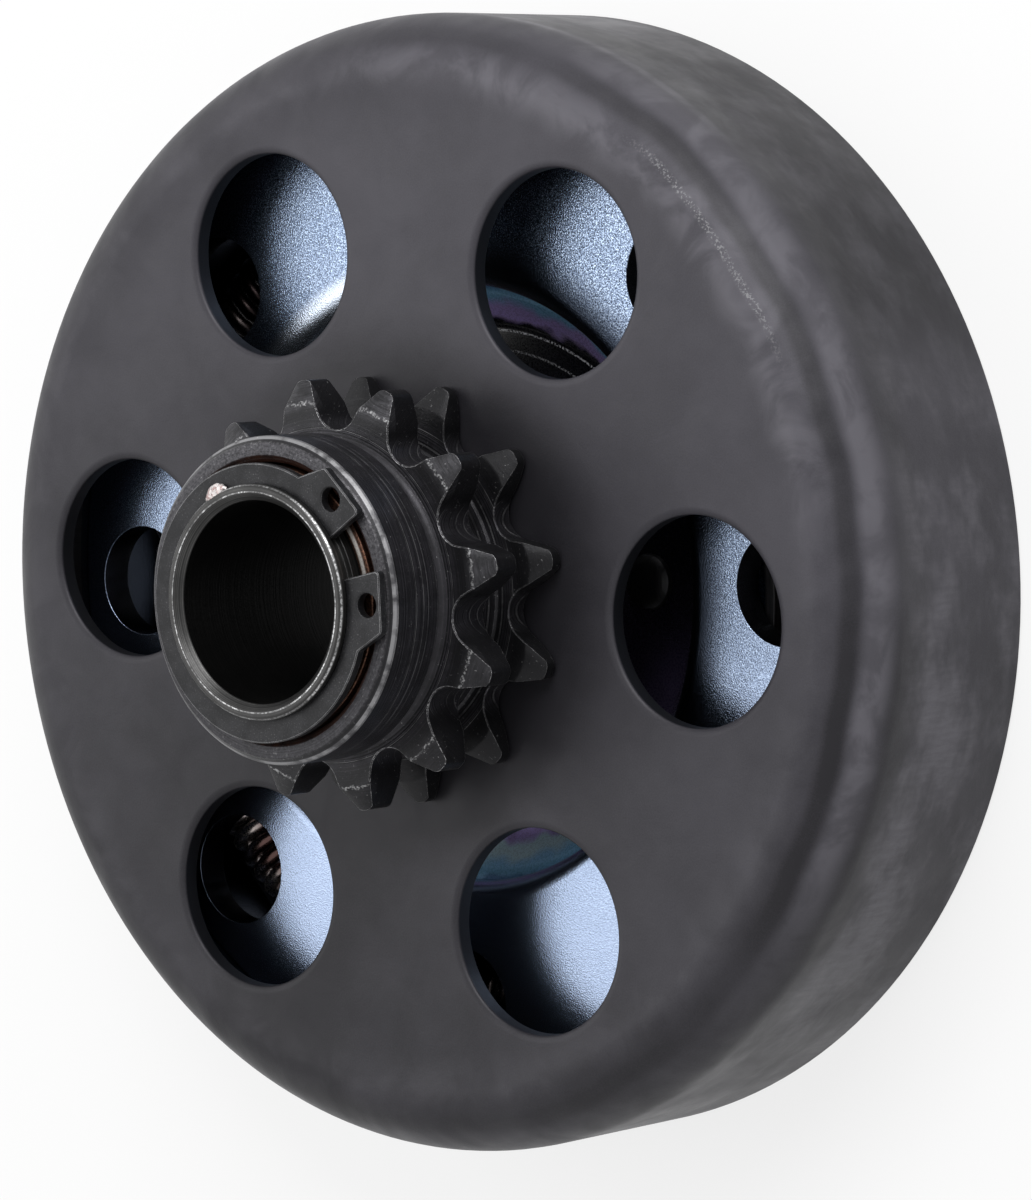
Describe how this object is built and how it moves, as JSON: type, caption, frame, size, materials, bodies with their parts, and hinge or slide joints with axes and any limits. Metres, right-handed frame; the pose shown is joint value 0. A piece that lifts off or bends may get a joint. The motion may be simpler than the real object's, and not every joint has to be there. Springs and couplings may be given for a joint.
{
  "type": "centrifugal clutch",
  "caption": "Centrifugal clutch: steel drum with round windows and a double-row chain sprocket, spring-held shoes inside, and a hub with a bore for an engine crankshaft.",
  "frame": {"origin": "centre of the drum's open rim, on the crankshaft axis", "axes": "+Z along the crankshaft axis from the drum's open rim to the sprocket, +X through the centre of one drum window"},
  "size_m": [0.1104, 0.1104, 0.0459],
  "materials": {
    "drum_steel": "blackened, satin, smudged",
    "tooth_steel": "blackened, turned and milled",
    "ring_steel": "phosphated spring steel, stamped",
    "hub_steel": "turned, oiled, dark",
    "bronze": "sintered bronze, oiled",
    "shoe_steel": "bright, blasted grain",
    "blued_steel": "heat blued, glossy",
    "spring_wire": "oil tempered wire with a brown cast",
    "rivet_steel": "plain, headed"
  },
  "bodies": {
    "driver": {"driver_hub": "hub_steel", "retaining_ring": "ring_steel", "rear_thrust_washer": "hub_steel", "front_driver_plate": "blued_steel", "driver_spider": "hub_steel", "driver_rivet_1": "rivet_steel", "driver_rivet_2": "rivet_steel", "driver_rivet_3": "rivet_steel", "driver_rivet_4": "rivet_steel", "driver_rivet_5": "rivet_steel", "driver_rivet_6": "rivet_steel", "driver_rivet_7": "rivet_steel", "driver_rivet_8": "rivet_steel", "garter_spring": "spring_wire"},
    "drum": {"drum_cup": "drum_steel", "sprocket": "tooth_steel", "bronze_bush": "bronze"},
    "shoe_a": {"shoe_a": "shoe_steel", "spring_seat_a": "hub_steel"},
    "shoe_b": {"shoe_b": "shoe_steel", "spring_seat_b": "hub_steel"}
  },
  "joints": [
    {"name": "drum_spin", "type": "hinge", "parent": "driver", "child": "drum", "pos_m": [0, 0, 0.0215], "axis": [0, 0, 1], "continuous": true},
    {"name": "shoe_a_slide", "type": "slide", "parent": "driver", "child": "shoe_a", "axis": [-0.4524, 0.8918, 0], "range_m": [0, 0.0009], "stiffness_N_per_m": 2000, "springref_m": -0.002, "deforming": ["garter_spring"]},
    {"name": "shoe_b_slide", "type": "slide", "parent": "driver", "child": "shoe_b", "axis": [0.4524, -0.8918, 0], "range_m": [0, 0.0009], "stiffness_N_per_m": 2000, "springref_m": -0.002}
  ],
  "couplings": [
    {"joint": "shoe_b_slide", "follows": "shoe_a_slide", "ratio": 1}
  ]
}
